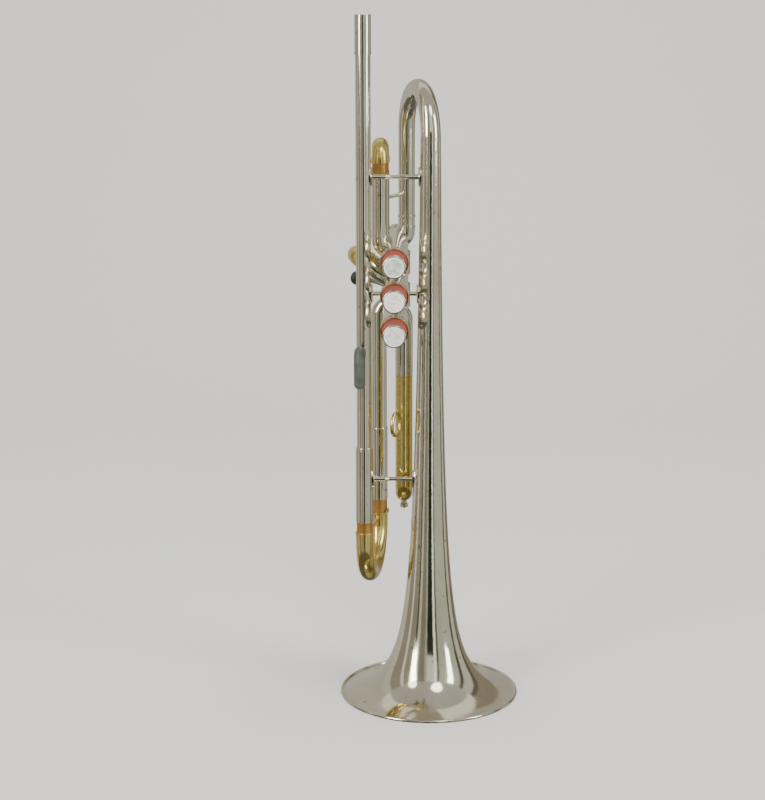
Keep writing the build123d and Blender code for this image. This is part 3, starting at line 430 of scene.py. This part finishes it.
def make_hook_sleeve():
    """The hook's rubber sleeve: out from the leadpipe, round a bend and down, with faint creases."""
    bend = 6.0 * MM
    creased_length = 16 * MM
    crease_depth = 0.012
    crease_pace = 0.9
    size_share = 0.97
    tip_round = 3.2 * MM
    collar_round = 0.9 * MM
    straight_steps = 24
    bend_steps = 12
    drop_steps = 48
    low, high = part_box("pinky_hook_sleeve")
    full = (high.x - low.x) / 2
    x = (high.x + low.x) / 2
    out_y = low.y + full
    foot_z = high.z - full
    path = []
    straight = high.y - (out_y + bend)
    for step in range(straight_steps + 1):
        path.append(Vector((x, high.y - straight * step / straight_steps, foot_z)))
    for step in range(1, bend_steps + 1):
        a = math.radians(90) * step / bend_steps
        path.append(Vector((x, out_y + bend - bend * math.sin(a), foot_z - bend + bend * math.cos(a))))
    drop = foot_z - bend - low.z
    for step in range(1, drop_steps + 1):
        path.append(Vector((x, out_y, foot_z - bend - drop * step / drop_steps)))
    radii = []
    count = len(path)
    for i in range(count):
        travelled = sum((path[k + 1] - path[k]).length for k in range(i))
        left = sum((path[k + 1] - path[k]).length for k in range(i, count - 1))
        crease = crease_depth * math.sin(i * crease_pace) if travelled < creased_length else 0.0
        size = full * (size_share + crease)
        tip = rounded(left + 0.05 * MM, size, tip_round)
        collar = rounded(travelled + 0.5 * MM, size, collar_round)
        radii.append(min(tip, collar))
    points, faces = swept(path, radii)
    piece("hook_rubber", points, faces, "black_rubber", "root", "pinky_hook_sleeve")


def make_rest_sleeve():
    """The thumb rest's straight rubber sleeve, with rounded ends."""
    steps = 40
    low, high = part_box("thumb_rest_sleeve")
    full = (high.x - low.x) / 2
    x = (high.x + low.x) / 2
    z = (high.z + low.z) / 2
    length = high.y - low.y
    path = [Vector((x, low.y + length * step / steps, z)) for step in range(steps + 1)]
    radii = []
    for step in range(steps + 1):
        front = length * step / steps
        back = length - front
        tip = rounded(front + 0.05 * MM, full, 2.0 * MM)
        collar = rounded(back + 0.3 * MM, full, 0.9 * MM)
        radii.append(min(tip, collar))
    points, faces = swept(path, radii)
    rest = piece("rest_rubber", points, faces, "black_rubber", "root", "thumb_rest_sleeve")
    rest.data.materials[0] = darker_rubber


for number in VALVES:
    make_pearl(number)
    make_spring(number)
make_felts()
make_hook_sleeve()
make_rest_sleeve()


# ---------------------------------------------------------------- studio
def plain(name, colour, roughness=0.9):
    """A plain matt finish."""
    s = Shader(name)
    s.set(Base_Color=(*colour, 1.0), Roughness=roughness)
    return s.material


def glowing(name, colour):
    """A plain light-giving finish for the panels that the metal reflects."""
    made = bpy.data.materials.new(name)
    made.use_nodes = True
    tree = made.node_tree
    tree.nodes.clear()
    glow = tree.nodes.new("ShaderNodeEmission")
    glow.inputs["Color"].default_value = (*colour, 1.0)
    out = tree.nodes.new("ShaderNodeOutputMaterial")
    tree.links.new(glow.outputs[0], out.inputs["Surface"])
    return made


def reflected_only(name, points, faces, colour):
    """A glowing stage object that only mirror-like reflections see."""
    mesh = bpy.data.meshes.new(name)
    mesh.from_pydata(points, [], faces)
    mesh.materials.append(glowing(name, colour))
    board = bpy.data.objects.new(name, mesh)
    bpy.context.scene.collection.objects.link(board)
    board.visible_camera = False
    board.visible_diffuse = False
    board.visible_shadow = False


PANEL_RADIUS = 2.5
PANEL_FOOT = -1.6
PANEL_TOP = 2.8
CEILING_HEIGHT = 2.81


def panel(name, start, end, colour, low=PANEL_FOOT, high=PANEL_TOP):
    """An upright curved studio panel round the trumpet, from one bearing to another.
    Bearings are degrees from -Y towards +X."""
    points = []
    steps = 6
    for step in range(steps + 1):
        a = math.radians(start + (end - start) * step / steps)
        x = PANEL_RADIUS * math.sin(a)
        y = -PANEL_RADIUS * math.cos(a)
        points += [(x, y, low), (x, y, high)]
    faces = [(2 * i, 2 * i + 2, 2 * i + 3, 2 * i + 1) for i in range(steps)]
    reflected_only(name, points, faces, colour)


def disc_rim(radius, height=0.0, count=32):
    """Points round a level circle."""
    bearings = [math.tau * i / count for i in range(count)]
    return [Vector((radius * math.cos(a), radius * math.sin(a), height)) for a in bearings]


def ceiling(colour, radius=2.6):
    """A round ceiling over the panels."""
    rim = disc_rim(radius, CEILING_HEIGHT)
    middle_point = Vector((0.0, 0.0, CEILING_HEIGHT))
    faces = [(0, 1 + (i + 1) % len(rim), 1 + i) for i in range(len(rim))]
    reflected_only("ceiling", [middle_point] + rim, faces, colour)


def ceiling_lamp(name, place, radius, colour):
    """A round lamp that only reflections see, facing the foot of the trumpet."""
    facing = (-Vector(place)).to_track_quat("Z", "Y").to_matrix()
    points = [Vector(place) + facing @ point for point in disc_rim(radius)]
    reflected_only(name, points, [tuple(range(len(points)))], colour)


def ceiling_board(colour, half_width, near, far):
    """A pale board just under the ceiling, behind the trumpet."""
    corners = ((-half_width, near), (half_width, near), (half_width, far), (-half_width, far))
    points = [(x, y, PANEL_TOP) for x, y in corners]
    reflected_only("ceiling_board", points, [(0, 3, 2, 1)], colour)


def backdrop():
    """A pale floor that curves up into a wall behind the trumpet."""
    profile = [(-2.6, 0.0)]
    bend = 0.7
    wall = 1.5
    steps = 16
    for i in range(steps + 1):
        a = math.radians(90) * i / steps
        profile.append((wall - bend + bend * math.sin(a), bend - bend * math.cos(a)))
    profile.append((wall, 3.2))
    points = []
    for y, z in profile:
        points += [(-3.0, y, z), (3.0, y, z)]
    faces = [(2 * i, 2 * i + 1, 2 * i + 3, 2 * i + 2) for i in range(len(profile) - 1)]
    mesh = bpy.data.meshes.new("backdrop")
    mesh.from_pydata(points, [], faces)
    mesh.materials.append(plain("backdrop", (0.66, 0.65, 0.63)))
    for face in mesh.polygons:
        face.use_smooth = True
    sheet = bpy.data.objects.new("backdrop", mesh)
    bpy.context.scene.collection.objects.link(sheet)
    sheet.visible_glossy = False


def softbox(name, place, target, width, height, power, tint=(1.0, 1.0, 1.0)):
    """A rectangular studio light, aimed at a target."""
    data = bpy.data.lights.new(name, "AREA")
    data.shape = "RECTANGLE"
    data.size = width
    data.size_y = height
    data.energy = power
    data.color = tint
    lamp = bpy.data.objects.new(name, data)
    lamp.location = place
    lamp.rotation_euler = (Vector(target) - Vector(place)).to_track_quat("-Z", "Y").to_euler()
    bpy.context.scene.collection.objects.link(lamp)
    return lamp


middle = Vector((0.0, 0.0, 0.25))
backdrop()
softbox("key", (-1.35, -1.25, 0.95), middle, 0.5, 1.3, 24, (1.0, 0.985, 0.95))
softbox("fill", (1.5, -0.75, 0.85), middle, 0.4, 1.3, 12, (0.97, 0.985, 1.0))
front = softbox("front", (0.25, -2.0, 1.25), middle, 0.9, 0.7, 24, (1.0, 0.99, 0.97))
front.visible_glossy = False
overhead = softbox("top", (0.0, 0.1, 2.4), (0.0, 0.35, 0.0), 1.6, 1.0, 70)
overhead.visible_glossy = False

# Each panel's two bearings and its colour.
PANELS = (
    (-180, -128, (0.55, 0.52, 0.45)),
    (-128, -112, (0.62, 0.59, 0.50)),
    (-112, -84, (0.32, 0.28, 0.23)),
    (-84, -76, (0.85, 0.82, 0.72)),
    (-76, -52, (0.30, 0.28, 0.21)),
    (-52, -44, (0.08, 0.085, 0.06)),
    (-44, -34, (0.62, 0.60, 0.50)),
    (-34, -14, (0.25, 0.235, 0.175)),
    (-14, -7, (0.50, 0.49, 0.40)),
    (-7, 15, (0.028, 0.032, 0.021)),
    (15, 24, (1.20, 1.17, 1.05)),
    (24, 31, (0.10, 0.105, 0.075)),
    (31, 92, (0.52, 0.53, 0.44)),
    (92, 102, (0.10, 0.10, 0.07)),
    (102, 124, (0.58, 0.55, 0.47)),
    (124, 134, (0.12, 0.11, 0.08)),
    (134, 158, (0.27, 0.235, 0.17)),
    (158, 180, (0.45, 0.41, 0.36)),
)
DARK_PANEL = (-7, 15)
DARK_PANEL_TOP = 0.7
for index, (start, end, colour) in enumerate(PANELS):
    top = DARK_PANEL_TOP if (start, end) == DARK_PANEL else PANEL_TOP
    panel(f"panel_{index}", start, end, colour, high=top)
panel("panel_over_dark", *DARK_PANEL, (0.80, 0.78, 0.68), low=DARK_PANEL_TOP)
ceiling((0.47, 0.45, 0.39))
ceiling_board((0.92, 0.89, 0.76), 2.2, 1.15, 2.45)
LAMP_COLOUR = (4.4, 4.3, 4.0)
ceiling_lamp("lamp_left", (-1.13, -0.95, 1.70), 0.32, LAMP_COLOUR)
ceiling_lamp("lamp_right", (0.51, -1.05, 1.90), 0.38, LAMP_COLOUR)

world = bpy.data.worlds.new("studio")
world.use_nodes = True
sky = world.node_tree.nodes["Background"]
sky.inputs["Color"].default_value = (0.80, 0.78, 0.66, 1.0)
sky.inputs["Strength"].default_value = 0.16
bpy.context.scene.world = world


# ---------------------------------------------------------------- camera
def camera():
    """The camera, in front of the bell and a little above the valves, looking slightly down."""
    place = Vector((-0.00926, -1.34553, 0.52488))
    pitch_down = math.radians(13.02)
    turn = 0.01751
    roll = -0.001986
    aim = Matrix.Rotation(turn, 3, "Z") @ Matrix.Rotation(-pitch_down, 3, "X")
    right = aim @ Vector((1, 0, 0))
    forward = aim @ Vector((0, 1, 0))
    up = aim @ Vector((0, 0, 1))
    right, up = (math.cos(roll) * right + math.sin(roll) * up,
                 math.cos(roll) * up - math.sin(roll) * right)
    axes = Matrix((right, up, -forward)).transposed()
    data = bpy.data.cameras.new("camera")
    data.sensor_width = 36.0
    data.lens = 89.5
    view = bpy.data.objects.new("camera", data)
    view.matrix_world = Matrix.Translation(place) @ axes.to_4x4()
    bpy.context.scene.collection.objects.link(view)
    bpy.context.scene.camera = view


camera()
